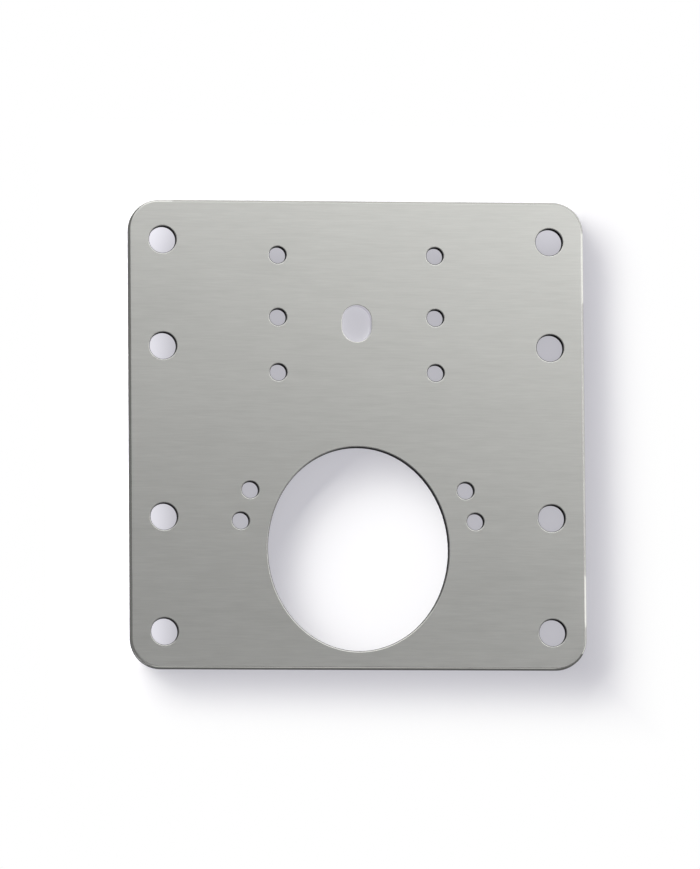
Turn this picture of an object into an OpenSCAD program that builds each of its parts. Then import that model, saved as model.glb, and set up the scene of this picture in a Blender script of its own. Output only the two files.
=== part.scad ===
// Repair plate for a concealed cabinet hinge: one flat sheet of brushed stainless steel,
// punched for the hinge cup, for the screws of the hinge and for the screws into the wood.
// It lies on its back face, and the origin is the middle of that face.
// +X is across the plate, +Y is towards its top edge and +Z is out of the front face.

/* [Sheet] */
// Width of the plate, from side to side
plate_w = 90; // [80:0.5:140]
// Height of the plate, from the bottom edge to the top edge
plate_h = 92.5; // [88:0.5:160]
// Thickness of the sheet
sheet_t = 2; // [1:0.1:4]
// Radius of the four corners, seen from the front
corner_r = 6; // [2:0.5:10]
// Rounding of the front edge all round the outline
outline_edge_r = 0.5; // [0.2:0.05:0.65]
// Rounding of the front edges of the holes, where the punch goes in
hole_edge_r = 0.25; // [0.1:0.05:0.6]
// Rounding of the back edges, after deburring
back_edge_r = 0.1; // [0.05:0.05:0.3]

/* [Screw holes along the sides] */
// Diameter of the screw holes along both sides
side_hole_d = 5.3; // [3:0.1:7]
// From a side edge to the middle of its holes
side_margin = 6.75; // [5:0.05:9]
// From the top edge to the highest row
side_top_margin = 7.9; // [5:0.1:12]
// From the highest row down to the next one
side_upper_pitch = 21; // [12:0.1:30]
// From the bottom edge to the lowest row
side_bottom_margin = 7.3; // [5:0.1:12]
// From the lowest row up to the next one
side_lower_pitch = 22.6; // [12:0.1:30]

/* [Screw holes for the hinge's wall plate] */
// Diameter of the six small holes in the upper half
arm_hole_d = 3.3; // [2:0.1:5]
// Between the two columns of small holes
arm_hole_spacing = 31.1; // [20:0.1:45]
// From the top edge to the highest row
arm_top_margin = 10.8; // [6:0.1:13]
// From the highest row to the middle row
arm_upper_pitch = 12.3; // [8:0.1:14]
// From the middle row to the lowest row
arm_lower_pitch = 10.9; // [8:0.1:14]

/* [Slot between the small holes] */
// Width of the slot
slot_w = 5.6; // [4:0.1:6.8]
// Length of the slot, from one round end to the other
slot_h = 7.1; // [7:0.1:14]
// From the top edge to the middle of the slot
slot_top_margin = 24.3; // [18:0.1:28]

/* [Opening for the hinge cup] */
// Diameter of the hinge cup that goes through
hinge_cup_d = 35; // [26:0.5:38]
// Clearance of the opening across the cup, both sides together
cup_play_across = 0.7; // [0.4:0.1:2]
// Clearance of the opening along the plate, both ends together, for lining up the door
cup_play_along = 5.2; // [1:0.1:6]
// From the bottom edge to the middle of the opening
cup_bottom_margin = 23.65; // [23.5:0.05:26]

/* [Screw holes beside the hinge cup] */
// Diameter of the four small holes beside the opening
cup_hole_d = 3.3; // [2:0.1:4.5]
// Between the two upper holes
cup_upper_spacing = 42.5; // [42:0.1:60]
// From the middle of the opening up to the upper holes
cup_upper_rise = 11.6; // [11:0.1:18]
// Between the two lower holes
cup_lower_spacing = 46.3; // [46:0.1:60]
// From the middle of the opening up to the lower holes
cup_lower_rise = 5.5; // [0:0.1:6]

/* [Hidden] */
$fn = 48;

// How far a cutter reaches past the sheet
past = 1;

// Rows and middles of the holes, measured from the middle of the plate
top_y = plate_h / 2;
bottom_y = -plate_h / 2;
side_x = plate_w / 2 - side_margin;
side_rows = [
  top_y - side_top_margin,
  top_y - side_top_margin - side_upper_pitch,
  bottom_y + side_bottom_margin + side_lower_pitch,
  bottom_y + side_bottom_margin
];
arm_x = arm_hole_spacing / 2;
arm_rows = [
  top_y - arm_top_margin,
  top_y - arm_top_margin - arm_upper_pitch,
  top_y - arm_top_margin - arm_upper_pitch - arm_lower_pitch
];
slot_y = top_y - slot_top_margin;
cup_y = bottom_y + cup_bottom_margin;
cup_pairs = [
  [cup_upper_spacing / 2, cup_y + cup_upper_rise],
  [cup_lower_spacing / 2, cup_y + cup_lower_rise]
];

// Section of the sheet, from a middle line out to an edge at distance reach
module sheet_section(reach) {
  difference() {
    square([reach, sheet_t]);
    translate([reach - outline_edge_r, sheet_t - outline_edge_r]) square(outline_edge_r + past);
    translate([reach - back_edge_r, -past]) square(back_edge_r + past);
  }
  translate([reach - outline_edge_r, sheet_t - outline_edge_r]) circle(outline_edge_r);
  translate([reach - back_edge_r, back_edge_r]) circle(back_edge_r);
}

// Section of a hole, from its middle out to a wall at distance reach, with both edges rounded
module hole_section(reach) {
  translate([0, back_edge_r]) square([reach, sheet_t - hole_edge_r - back_edge_r]);
  difference() {
    translate([0, sheet_t - hole_edge_r]) square([reach + hole_edge_r, hole_edge_r + past]);
    translate([reach + hole_edge_r, sheet_t - hole_edge_r]) circle(hole_edge_r);
  }
  difference() {
    translate([0, -past]) square([reach + back_edge_r, back_edge_r + past]);
    translate([reach + back_edge_r, back_edge_r]) circle(back_edge_r);
  }
}

// The sheet before it is punched: a middle block, four sides and four corners
module blank() {
  inner_w = plate_w - 2 * corner_r;
  inner_h = plate_h - 2 * corner_r;
  translate([-inner_w / 2, -inner_h / 2, 0]) cube([inner_w, inner_h, sheet_t]);
  for (side = [0:3]) {
    along = side % 2 == 0 ? inner_h : inner_w;
    across = side % 2 == 0 ? inner_w : inner_h;
    rotate(90 * side) translate([across / 2, along / 2, 0]) {
      rotate([90, 0, 0]) linear_extrude(along) sheet_section(corner_r);
      rotate_extrude(angle = 90) sheet_section(corner_r);
    }
  }
}

// A round screw hole
module screw_hole(d) {
  rotate_extrude() hole_section(d / 2);
}

// A slot with round ends, w wide and h long, standing along Y
module slot(w, h) {
  straight = h - w;
  for (end = [0, 180]) rotate(end) translate([0, straight / 2, 0]) {
    rotate_extrude(angle = 180) hole_section(w / 2);
    rotate([90, 0, 0]) linear_extrude(straight) hole_section(w / 2);
  }
}

// An oval opening, w wide and h high: a round one stretched along Y
module oval(w, h) {
  scale([1, h / w, 1]) rotate_extrude() hole_section(w / 2);
}

module plate() {
  color("silver") difference() {
    blank();
    for (x = [-side_x, side_x], y = side_rows) translate([x, y, 0]) screw_hole(side_hole_d);
    for (x = [-arm_x, arm_x], y = arm_rows) translate([x, y, 0]) screw_hole(arm_hole_d);
    for (pair = cup_pairs, side = [-1, 1])
      translate([side * pair[0], pair[1], 0]) screw_hole(cup_hole_d);
    translate([0, slot_y, 0]) slot(slot_w, slot_h);
    translate([0, cup_y, 0]) oval(hinge_cup_d + cup_play_across, hinge_cup_d + cup_play_along);
  }
}

plate();
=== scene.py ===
"""Mending plate for a concealed cabinet hinge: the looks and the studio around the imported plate.

The plate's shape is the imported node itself. This script gives it its brushed finish, lays it on a
pale table and lights it with a soft studio. Everything is in metres, in the plate's own frame:
+X across the plate, +Y towards its top edge, +Z out of the front face.
"""
import math

import bpy
import numpy as np
from mathutils import Matrix, Vector


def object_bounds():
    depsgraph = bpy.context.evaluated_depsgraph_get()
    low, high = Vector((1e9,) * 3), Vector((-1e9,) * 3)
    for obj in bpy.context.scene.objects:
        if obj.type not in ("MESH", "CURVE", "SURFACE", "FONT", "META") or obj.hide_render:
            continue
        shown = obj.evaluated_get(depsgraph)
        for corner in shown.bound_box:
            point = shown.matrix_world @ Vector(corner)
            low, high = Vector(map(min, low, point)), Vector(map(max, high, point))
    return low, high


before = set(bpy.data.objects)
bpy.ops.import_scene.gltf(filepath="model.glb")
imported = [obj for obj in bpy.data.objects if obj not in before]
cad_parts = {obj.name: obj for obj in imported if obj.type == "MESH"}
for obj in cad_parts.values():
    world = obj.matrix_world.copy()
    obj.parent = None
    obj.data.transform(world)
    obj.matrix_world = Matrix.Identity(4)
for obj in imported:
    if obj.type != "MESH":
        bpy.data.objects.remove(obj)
cad_low, cad_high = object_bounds()

# The plate: its thickness, and the radius of its corners
SHEET_T = cad_high.z
CORNER_R = 0.006

# Camera: a long lens, a little below and to the left of the plate's own axis
TILT = math.radians(9.5)
TILT_TOWARDS = math.radians(46)
ROLL = math.radians(-0.44)
CAMERA_DISTANCE = 2.23
CAMERA_TARGET = Vector((-0.00152, -0.00002, SHEET_T))
CAMERA_CLIP = (0.05, 50.0)
PIXELS_PER_METRE = 5097
LONG_SIDE_PIXELS = 869
SENSOR_MM = 36

# Brushed face: grains to a metre along X, Y and Z. The brushing runs along X, so they are long there
FINE_STREAKS = (240, 3600, 3600)
BROAD_STREAKS = (90, 1100, 1100)
CLOUDS = (28, 60, 60)
FINE_DETAIL = 3
BROAD_DETAIL = 2
FINE_SHARE = 0.6
STREAK_SHARE = 0.8
TONE_STOPS = ((0.35, 0.0), (0.65, 1.0))
DARK_STREAK = (0.60, 0.603, 0.57)
LIGHT_STREAK = (0.66, 0.663, 0.628)
BRUSHED_ROUGHNESS = 0.30
STREAK_ROUGHNESS = 0.10
BRUSHED_ONE_WAY = 0.5
STREAK_BUMP = 0.35
STREAK_DEPTH = 0.00001

# Walls and roundings: each stop is how far the surface faces up or down, and how much it counts as one
OUTER_WALL_STOPS = ((0.15, 1.0), (0.40, 0.0))
# In the holes the dark wall colour reaches far up the rounding, so their painted shade covers most of the
# rims too
HOLE_WALL_STOPS = ((0.72, 1.0), (0.93, 0.0))
ROUNDING_STOPS = ((0.955, 1.0), (0.995, 0.0))
ROUNDING_ROUGHNESS = 0.20
WALL_ROUGHNESS = 0.45

# Marks of the cut: grains to a metre, long along Z, and how far they make its torn line ragged
CUT_MARKS = (4200, 4200, 160)
RAGGED_BY = 0.0006
TORN_STOPS = ((0.72, 1.0), (0.80, 0.0))

# Colours of the walls, each from its dark marks to its light ones. The holes' walls are far darker than the
# outline's: that is painted shade laid over their cut marks
HOLE_SHEARED_AND_SHADE = ((0.04, 0.04, 0.04), (0.065, 0.065, 0.064))
HOLE_TORN_AND_SHADE = ((0.015, 0.015, 0.015), (0.035, 0.035, 0.034))
OUTLINE_SHEARED = ((0.24, 0.24, 0.238), (0.32, 0.32, 0.317))
OUTLINE_TORN = ((0.15, 0.15, 0.149), (0.21, 0.21, 0.208))
# The slot's wall is near white: painted light, so that the slot shows no shaded wall
SLOT_WALL_PAINTED_LIGHT = (0.88, 0.87, 0.90)

# What the walls mirror at a glancing angle. The holes' low value is part of their painted shade
WHITE = (1.0, 1.0, 1.0)
OUTLINE_GLANCE = (0.32, 0.32, 0.32)
HOLE_GLANCE_AND_SHADE = (0.12, 0.12, 0.12)

# Boxes round all the holes, this far inside the outline, and round the slot alone
HOLE_FIELD_MARGIN = Vector((0.0027, 0.0027, 0.0))
SLOT_LOW = (-0.004, 0.0165)
SLOT_HIGH = (0.004, 0.0275)

# Table: its own light is stronger in a painted pool of light under the left edge and in one under the top
# edge
TABLE_RADIUS = 14.0
TABLE_COLOUR = (0.43, 0.43, 0.43)
TABLE_OWN_LIGHT = (0.452, 0.447, 0.484)
TABLE_FADE = (0.047, 0.062)
LEFT_POOL = (-0.0335, -0.0425)
LEFT_POOL_FOOT = (-0.047, -0.042)
LEFT_GAIN = 0.72
TOP_POOL = (0.0335, 0.0435)
TOP_POOL_SIDE = (0.046, 0.0415)
TOP_GAIN = 0.36

# Sky: each stop is the height of the look, from the horizon at 0 to straight up at 1, and a grey level
SKY_TOP = 0.265
SKY_STOPS = ((0.0, 1.0), (0.15, 0.9), (0.45, 0.62), (0.85, SKY_TOP), (1.0, SKY_TOP))
SKY_TINT = (0.97, 0.965, 1.0)
SKY_HELD_BACK = 0.5

# Lamps: a soft one overhead that the steel mirrors, and two low ones at the upper left for the shadow
TOP_PLACE = (0.10, 0.28, 0.34)
TOP_AIM = (0.10, 0.28, 0.0)
TOP_SIZE = (0.60, 0.40)
TOP_POWER = 0.98
TOP_SPIN = math.radians(-19.4)
KEY_COLOUR = (1.0, 0.995, 0.95)
KEYS = (
    ("narrow_key", (-0.342, 0.377, 0.087), (0.44, 0.058), 7.5),
    ("wide_key", (-0.383, 0.335, 0.106), (1.40, 0.163), 21.8),
)

# Card on the right that the steel mirrors: part of a round wall, and how brightly it glows
CARD_RADIUS = 0.5
CARD_FROM = math.radians(-42)
CARD_TO = math.radians(62)
CARD_FOOT = 0.02
CARD_TOP = 0.34
CARD_GLOW = 0.95

# How far outside the plate's edges the low strips stand
LEFT_GAP = 0.0008
END_GAP = 0.00085
RIGHT_GAP = 0.0016
GLOW_GAP = 0.00575


def add_node(tree, kind, **values):
    """A shader node of one kind, with its plain properties set."""
    node = tree.nodes.new(kind)
    for key, value in values.items():
        setattr(node, key, value)
    return node


def maths(tree, operation, a, b=None, clamp=False):
    """A Math node's output. Each of a and b is a number or another node's output."""
    node = add_node(tree, "ShaderNodeMath", operation=operation, use_clamp=clamp)
    for i, value in enumerate((a, b)):
        if value is None:
            continue
        if isinstance(value, (int, float)):
            node.inputs[i].default_value = value
        else:
            tree.links.new(value, node.inputs[i])
    return node.outputs[0]


def weighed(tree, first, second, share):
    """share times the first number, plus the rest times the second."""
    return maths(
        tree, "ADD", maths(tree, "MULTIPLY", first, share), maths(tree, "MULTIPLY", second, 1 - share)
    )


def mix_colours(tree, share, a, b, blend="MIX"):
    """A Mix node's colour. share, a and b are constants or other nodes' outputs."""
    node = add_node(tree, "ShaderNodeMix", data_type="RGBA", blend_type=blend)
    for i, value in ((0, share), (6, a), (7, b)):
        if isinstance(value, bpy.types.NodeSocket):
            tree.links.new(value, node.inputs[i])
        elif i == 0:
            node.inputs[i].default_value = value
        else:
            node.inputs[i].default_value = (*value, 1.0)
    return node.outputs[2]


def mix_values(tree, share, a, b):
    """A Mix node's number: a, a node's output, where share is 0, and the number b where it is 1."""
    node = add_node(tree, "ShaderNodeMix", data_type="FLOAT")
    tree.links.new(share, node.inputs[0])
    tree.links.new(a, node.inputs[2])
    node.inputs[3].default_value = b
    return node.outputs[0]


def split(tree, vector):
    """The X, Y and Z of a vector, as three outputs."""
    node = add_node(tree, "ShaderNodeSeparateXYZ")
    tree.links.new(vector, node.inputs[0])
    return node.outputs[0], node.outputs[1], node.outputs[2]


def smooth_step(tree, value, start, end):
    """0 where value is at start or before it, 1 at end or past it, and an S-curve between."""
    node = add_node(tree, "ShaderNodeMapRange", interpolation_type="SMOOTHSTEP")
    tree.links.new(value, node.inputs["Value"])
    node.inputs["From Min"].default_value = start
    node.inputs["From Max"].default_value = end
    return node.outputs[0]


def ramp(tree, value, stops):
    """A ramp's output: stops are pairs of a position and a grey level."""
    node = add_node(tree, "ShaderNodeValToRGB")
    steps = node.color_ramp.elements
    while len(steps) > 1:
        steps.remove(steps[-1])
    for i, (position, grey) in enumerate(stops):
        step = steps[0] if i == 0 else steps.new(position)
        step.position = position
        step.color = (grey, grey, grey, 1.0)
    tree.links.new(value, node.inputs[0])
    return node.outputs[0]


def grain(tree, coordinates, stretch, detail, roughness=0.55):
    """Noise whose cells are stretched: stretch is how many there are to a metre along X, Y and Z."""
    mapping = add_node(tree, "ShaderNodeMapping")
    mapping.inputs["Scale"].default_value = stretch
    tree.links.new(coordinates, mapping.inputs["Vector"])
    noise = add_node(tree, "ShaderNodeTexNoise", noise_dimensions="3D")
    noise.inputs["Scale"].default_value = 1.0
    noise.inputs["Detail"].default_value = detail
    noise.inputs["Roughness"].default_value = roughness
    tree.links.new(mapping.outputs[0], noise.inputs["Vector"])
    return noise.outputs[0]


def inside_box(tree, place, low, high):
    """1 where a point lies between low and high along X and Y, and 0 elsewhere."""
    share = 1.0
    for along, least, most in zip(split(tree, place), low[:2], high[:2]):
        past_low = maths(tree, "GREATER_THAN", along, least)
        short_of_high = maths(tree, "LESS_THAN", along, most)
        share = maths(tree, "MULTIPLY", maths(tree, "MULTIPLY", past_low, short_of_high), share)
    return share


def empty_material(name):
    """A new material and its shader tree, with no node in it yet."""
    material = bpy.data.materials.new(name)
    material.use_nodes = True
    material.node_tree.nodes.clear()
    return material, material.node_tree


def set_surface(tree, shader):
    """Makes one shader's output the surface of the material."""
    output = add_node(tree, "ShaderNodeOutputMaterial")
    tree.links.new(shader, output.inputs[0])


def brushed_face(tree, place):
    """The brushing as a number, and the colour of the face. It is noise drawn out along X at three widths."""
    fine = grain(tree, place, FINE_STREAKS, FINE_DETAIL)
    broad = grain(tree, place, BROAD_STREAKS, BROAD_DETAIL)
    clouds = grain(tree, place, CLOUDS, BROAD_DETAIL)
    streaks = weighed(tree, fine, broad, FINE_SHARE)
    tone = weighed(tree, streaks, clouds, STREAK_SHARE)
    return streaks, mix_colours(tree, ramp(tree, tone, TONE_STOPS), DARK_STREAK, LIGHT_STREAK)


def cut_walls_and_hole_shade(tree, place, punched):
    """The colour of the walls: sheared under the front edge, and torn and darker below a ragged line.

    punched is 1 among the holes, whose walls are dark with painted shade over the cut marks, and 0 at the
    outline, whose walls are grey.
    """
    marks = grain(tree, place, CUT_MARKS, FINE_DETAIL)
    ragged = maths(tree, "ADD", split(tree, place)[2], maths(tree, "MULTIPLY", marks, RAGGED_BY))
    torn = ramp(tree, maths(tree, "DIVIDE", ragged, SHEET_T, clamp=True), TORN_STOPS)
    cuts = []
    for sheared_colours, torn_colours in ((OUTLINE_SHEARED, OUTLINE_TORN), (HOLE_SHEARED_AND_SHADE, HOLE_TORN_AND_SHADE)):
        sheared_band = mix_colours(tree, marks, *sheared_colours)
        torn_band = mix_colours(tree, marks, *torn_colours)
        cuts.append(mix_colours(tree, torn, sheared_band, torn_band))
    return mix_colours(tree, punched, *cuts)


def brushed_steel():
    """Stainless sheet brushed across the plate, along X, with cut walls and smoother roundings.

    The brushing moves the colour, the roughness and the height a little. Where the surface turns away
    from Z the wall shows: grey at the outline; dark in the holes, which is painted shade; and bright in
    the slot, which is painted light that keeps the slot's wall from looking shaded. The grey and the
    dark walls mirror less than the face at a glancing angle, the holes' walls least, as part of their painted
    shade.
    """
    material, tree = empty_material("brushed_steel")
    coordinates = add_node(tree, "ShaderNodeTexCoord")
    place = coordinates.outputs["Object"]
    streaks, face_colour = brushed_face(tree, place)

    upright = maths(tree, "ABSOLUTE", split(tree, coordinates.outputs["Normal"])[2])
    punched = inside_box(tree, place, cad_low + HOLE_FIELD_MARGIN, cad_high - HOLE_FIELD_MARGIN)
    outer_wall = ramp(tree, upright, OUTER_WALL_STOPS)
    hole_wall = ramp(tree, upright, HOLE_WALL_STOPS)
    wall = mix_colours(tree, punched, outer_wall, hole_wall)
    rounding = ramp(tree, upright, ROUNDING_STOPS)
    slot_wall = inside_box(tree, place, SLOT_LOW, SLOT_HIGH)
    # Painted shade and light: the holes' walls are dark and mirror least, and the slot's wall is near white
    # and mirrors fully
    wall_colour = mix_colours(tree, slot_wall, cut_walls_and_hole_shade(tree, place, punched), SLOT_WALL_PAINTED_LIGHT)
    wall_glance = mix_colours(tree, punched, OUTLINE_GLANCE, HOLE_GLANCE_AND_SHADE)
    wall_glance = mix_colours(tree, slot_wall, wall_glance, WHITE)

    shader = add_node(tree, "ShaderNodeBsdfPrincipled")
    shader.inputs["Metallic"].default_value = 1.0
    shader.inputs["Anisotropic"].default_value = BRUSHED_ONE_WAY
    tree.links.new(mix_colours(tree, wall, face_colour, wall_colour), shader.inputs["Base Color"])
    tree.links.new(mix_colours(tree, wall, WHITE, wall_glance), shader.inputs["Specular Tint"])
    brushed = maths(tree, "ADD", BRUSHED_ROUGHNESS, maths(tree, "MULTIPLY", streaks, STREAK_ROUGHNESS))
    front = mix_values(tree, rounding, brushed, ROUNDING_ROUGHNESS)
    tree.links.new(mix_values(tree, wall, front, WALL_ROUGHNESS), shader.inputs["Roughness"])

    across = add_node(tree, "ShaderNodeCombineXYZ")
    across.inputs[1].default_value = 1.0
    tree.links.new(across.outputs[0], shader.inputs["Tangent"])

    bump = add_node(tree, "ShaderNodeBump")
    bump.inputs["Strength"].default_value = STREAK_BUMP
    bump.inputs["Distance"].default_value = STREAK_DEPTH
    tree.links.new(streaks, bump.inputs["Height"])
    tree.links.new(bump.outputs[0], shader.inputs["Normal"])
    set_surface(tree, shader.outputs[0])
    return material


def table_top():
    """A white table that keeps a faintly lilac shadow and fades into plain white away from the plate.

    Near the plate it is a soft diffuse surface with a little light of its own, which only the camera
    and the steel see. That light is stronger in the two pools, which are painted light: they lift the
    shadow in the holes there. What is seen of the table further out is plain white.
    """
    material, tree = empty_material("white_table")
    coordinates = add_node(tree, "ShaderNodeTexCoord")
    x, y, _ = split(tree, coordinates.outputs["Object"])
    path = add_node(tree, "ShaderNodeLightPath")
    seen = maths(tree, "MAXIMUM", path.outputs["Is Camera Ray"], path.outputs["Is Glossy Ray"])

    soft = add_node(tree, "ShaderNodeBsdfDiffuse")
    soft.inputs[0].default_value = (*TABLE_COLOUR, 1.0)
    own = add_node(tree, "ShaderNodeEmission")
    own.inputs[0].default_value = (*TABLE_OWN_LIGHT, 1.0)
    # Painted pools of light: the table's own light grows under the left edge and under the top edge
    left_foot = smooth_step(tree, y, *LEFT_POOL_FOOT)
    left = maths(tree, "MULTIPLY", smooth_step(tree, x, *LEFT_POOL), left_foot)
    top_side = smooth_step(tree, x, *TOP_POOL_SIDE)
    top = maths(tree, "MULTIPLY", smooth_step(tree, y, *TOP_POOL), top_side)
    left_light = maths(tree, "MULTIPLY", left, LEFT_GAIN)
    top_light = maths(tree, "MULTIPLY", top, TOP_GAIN)
    strength = maths(tree, "ADD", 1.0, maths(tree, "ADD", left_light, top_light))
    tree.links.new(maths(tree, "MULTIPLY", seen, strength), own.inputs[1])
    near = add_node(tree, "ShaderNodeAddShader")
    tree.links.new(soft.outputs[0], near.inputs[0])
    tree.links.new(own.outputs[0], near.inputs[1])

    white = add_node(tree, "ShaderNodeEmission")
    white.inputs[0].default_value = (*WHITE, 1.0)
    away_x = maths(tree, "ABSOLUTE", x)
    away_y = maths(tree, "ABSOLUTE", y)
    away = smooth_step(tree, maths(tree, "MAXIMUM", away_x, away_y), *TABLE_FADE)
    whole = add_node(tree, "ShaderNodeMixShader")
    tree.links.new(maths(tree, "MULTIPLY", away, seen), whole.inputs[0])
    tree.links.new(near.outputs[0], whole.inputs[1])
    tree.links.new(white.outputs[0], whole.inputs[2])
    set_surface(tree, whole.outputs[0])
    return material


def glowing_card(name, strength):
    """A card that glows evenly, for the lines of light and dark along the plate's edges."""
    material, tree = empty_material(name)
    glow = add_node(tree, "ShaderNodeEmission")
    glow.inputs[1].default_value = strength
    set_surface(tree, glow.outputs[0])
    return material


def surface(name, points, faces):
    """A new object with one mesh, from arrays of points and lists of faces."""
    mesh = bpy.data.meshes.new(name)
    mesh.from_pydata(points.tolist(), [], faces)
    thing = bpy.data.objects.new(name, mesh)
    bpy.context.scene.collection.objects.link(thing)
    return thing


def disc(name, radius, height, rings=24, spokes=96):
    """A flat round sheet: x = r cos a, y = r sin a, with r growing as the square of the ring's number."""
    r = radius * (np.arange(1, rings + 1) / rings) ** 2
    a = np.arange(spokes) * 2 * np.pi / spokes
    level = np.full((rings, spokes), height)
    grid = np.stack([r[:, None] * np.cos(a), r[:, None] * np.sin(a), level], axis=2)
    points = np.concatenate([[[0, 0, height]], grid.reshape(-1, 3)])
    ring = 1 + np.arange(spokes)
    cap = np.stack([np.zeros(spokes, int), ring, np.roll(ring, -1)], axis=1)
    inner = np.arange(rings - 1)[:, None] * spokes + ring
    inner_next = np.arange(rings - 1)[:, None] * spokes + np.roll(ring, -1)
    bands = np.stack([inner, inner + spokes, inner_next + spokes, inner_next], axis=2).reshape(-1, 4)
    return surface(name, points, cap.tolist() + bands.tolist())


def curved_wall(name, radius, start, end, low, high, across=32, along=6):
    """A standing wall on part of a circle: x = r cos a, y = r sin a.

    a runs from start to end, and z from low to high.
    """
    a, z = np.meshgrid(np.linspace(start, end, across + 1), np.linspace(low, high, along + 1))
    points = np.stack([radius * np.cos(a), radius * np.sin(a), z], axis=2).reshape(-1, 3)
    corner = (np.arange(along)[:, None] * (across + 1) + np.arange(across)).reshape(-1)
    faces = np.stack([corner, corner + across + 1, corner + across + 2, corner + 1], axis=1)
    return surface(name, points, faces.tolist())


def straight_path(start, end, steps=8):
    """Points of the table from start to end: start + u (end - start), with u from 0 to 1."""
    u = np.linspace(0, 1, steps + 1)[:, None]
    return np.array(start) + u * (np.array(end) - np.array(start))


def corner_path(side_x, side_y, start, end, steps=16):
    """Points on an arc round one corner of the plate: the corner's middle + r (cos a, sin a)."""
    middle = np.array([side_x * (cad_high.x - CORNER_R), side_y * (cad_high.y - CORNER_R)])
    a = np.radians(np.linspace(start, end, steps + 1))
    return middle + (CORNER_R + LEFT_GAP) * np.stack([np.cos(a), np.sin(a)], axis=1)


def standing_strip(name, path, height):
    """A low wall on a path over the table: each point of the path, and the same point height above it."""
    along = len(path) - 1
    foot = np.column_stack([path, np.zeros(along + 1)])
    points = np.concatenate([foot, foot + np.array([0, 0, height])])
    corner = np.arange(along)
    faces = np.stack([corner, corner + 1, corner + along + 2, corner + along + 1], axis=1)
    return surface(name, points, faces.tolist())


def edge_strips():
    """The low walls that the roundings mirror: each strip's name, path, height and glow.

    A weak glow makes the dark line along the left and the front edge, and a strong one the light lines
    along the back, at the right, and inside the dark line of the front.
    """
    left_x = cad_low.x - LEFT_GAP
    right_x = cad_high.x + RIGHT_GAP
    front_y = cad_low.y - END_GAP
    glow_y = cad_low.y - GLOW_GAP
    back_y = cad_high.y + END_GAP
    return (
        ("left_strip", straight_path((left_x, 0.052), (left_x, -0.052)), 0.0054, 0.22),
        ("front_strip", straight_path((-0.052, front_y), (0.039, front_y)), 0.0025, 0.20),
        ("front_glow", straight_path((-0.042, glow_y), (0.042, glow_y)), 0.0120, 0.78),
        ("front_corner_strip", corner_path(1, -1, -90, -28), 0.0030, 0.15),
        ("upper_right_strip", straight_path((right_x, 0.0405), (right_x, 0.0265)), 0.0055, 1.3),
        ("lower_right_strip", straight_path((right_x, -0.0275), (right_x, -0.0375)), 0.0055, 1.3),
        ("back_strip", straight_path((-0.036, back_y), (0.039, back_y)), 0.0045, 0.80),
        ("back_corner_strip", corner_path(1, 1, 90, 5), 0.0045, 0.80),
    )


def seen_in_steel_only(thing):
    """Leaves a stage object to the steel's reflections: the camera and the table don't see it."""
    thing.visible_camera = False
    thing.visible_diffuse = False
    thing.visible_shadow = False


def lamp(name, place, aim, size, power, colour=WHITE, in_steel=True, spin=0.0):
    """A soft oblong lamp at place that faces aim. Either the steel mirrors it or it lights the table."""
    light = bpy.data.lights.new(name, "AREA")
    light.shape = "RECTANGLE"
    light.size, light.size_y = size
    light.energy = power
    light.color = colour
    thing = bpy.data.objects.new(name, light)
    direction = (Vector(aim) - Vector(place)).normalized()
    facing = direction.to_track_quat("-Z", "Y").to_matrix().to_4x4()
    thing.matrix_world = Matrix.Translation(place) @ facing @ Matrix.Rotation(spin, 4, "Z")
    thing.visible_camera = False
    thing.visible_glossy = in_steel
    thing.visible_diffuse = not in_steel
    bpy.context.scene.collection.objects.link(thing)


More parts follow.
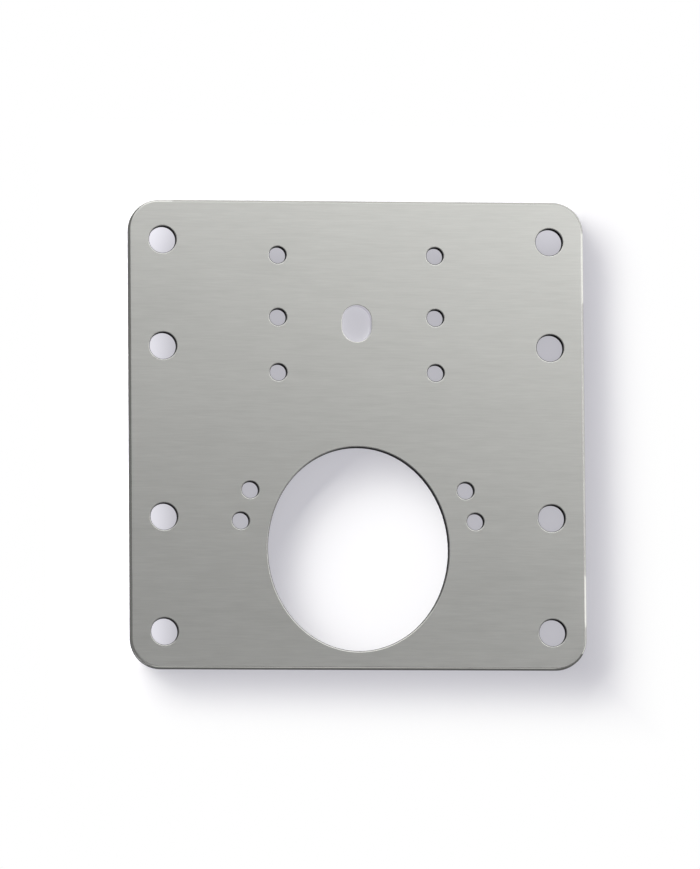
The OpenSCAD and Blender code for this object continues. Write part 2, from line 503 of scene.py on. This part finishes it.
def studio_sky():
    """A pale studio: white at the horizon and softer overhead. The camera sees plain white."""
    world = bpy.data.worlds.new("studio")
    world.use_nodes = True
    tree = world.node_tree
    tree.nodes.clear()
    coordinates = add_node(tree, "ShaderNodeTexCoord")
    level = ramp(tree, split(tree, coordinates.outputs["Generated"])[2], SKY_STOPS)
    path = add_node(tree, "ShaderNodeLightPath")
    tinted = mix_colours(tree, 1.0, level, SKY_TINT, "MULTIPLY")
    seen = mix_colours(tree, path.outputs["Is Camera Ray"], tinted, WHITE)
    held_back = maths(tree, "MULTIPLY", path.outputs["Is Diffuse Ray"], SKY_HELD_BACK)
    background = add_node(tree, "ShaderNodeBackground")
    tree.links.new(seen, background.inputs[0])
    tree.links.new(maths(tree, "SUBTRACT", 1.0, held_back), background.inputs[1])
    output = add_node(tree, "ShaderNodeOutputWorld")
    tree.links.new(background.outputs[0], output.inputs[0])
    bpy.context.scene.world = world


def long_lens_camera():
    """A camera that looks at its target from TILT off the plate's axis, turned by ROLL about its own."""
    data = bpy.data.cameras.new("camera")
    data.sensor_width = SENSOR_MM
    data.lens = PIXELS_PER_METRE * CAMERA_DISTANCE * SENSOR_MM / LONG_SIDE_PIXELS
    data.clip_start, data.clip_end = CAMERA_CLIP
    camera = bpy.data.objects.new("camera", data)
    bpy.context.scene.collection.objects.link(camera)
    aside = -math.sin(TILT) * math.cos(TILT_TOWARDS)
    below = -math.sin(TILT) * math.sin(TILT_TOWARDS)
    back = Vector((aside, below, math.cos(TILT)))
    right = Vector((0, 1, 0)).cross(back).normalized()
    up = back.cross(right)
    turn = Matrix.Rotation(ROLL, 3, back)
    axes = Matrix((turn @ right, turn @ up, back)).transposed()
    camera.matrix_world = Matrix.Translation(CAMERA_TARGET + back * CAMERA_DISTANCE) @ axes.to_4x4()
    return camera


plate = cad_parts["plate"]
steel = brushed_steel()
for slot in plate.material_slots:
    slot.material = steel

table = disc("table", TABLE_RADIUS, 0.0)
table.data.materials.append(table_top())

for name, path, height, glow in edge_strips():
    strip = standing_strip(name, path, height)
    strip.data.materials.append(glowing_card(name, glow))
    seen_in_steel_only(strip)
card = curved_wall("right_card", CARD_RADIUS, CARD_FROM, CARD_TO, CARD_FOOT, CARD_TOP)
card.data.materials.append(glowing_card("bright_card", CARD_GLOW))
seen_in_steel_only(card)

studio_sky()
lamp("top_card", TOP_PLACE, TOP_AIM, TOP_SIZE, TOP_POWER, spin=TOP_SPIN)
for name, place, size, power in KEYS:
    lamp(name, place, (0, 0, place[2]), size, power, KEY_COLOUR, in_steel=False)

bpy.context.scene.camera = long_lens_camera()
bpy.context.scene.view_settings.view_transform = "Standard"

bpy.context.view_layer.update()
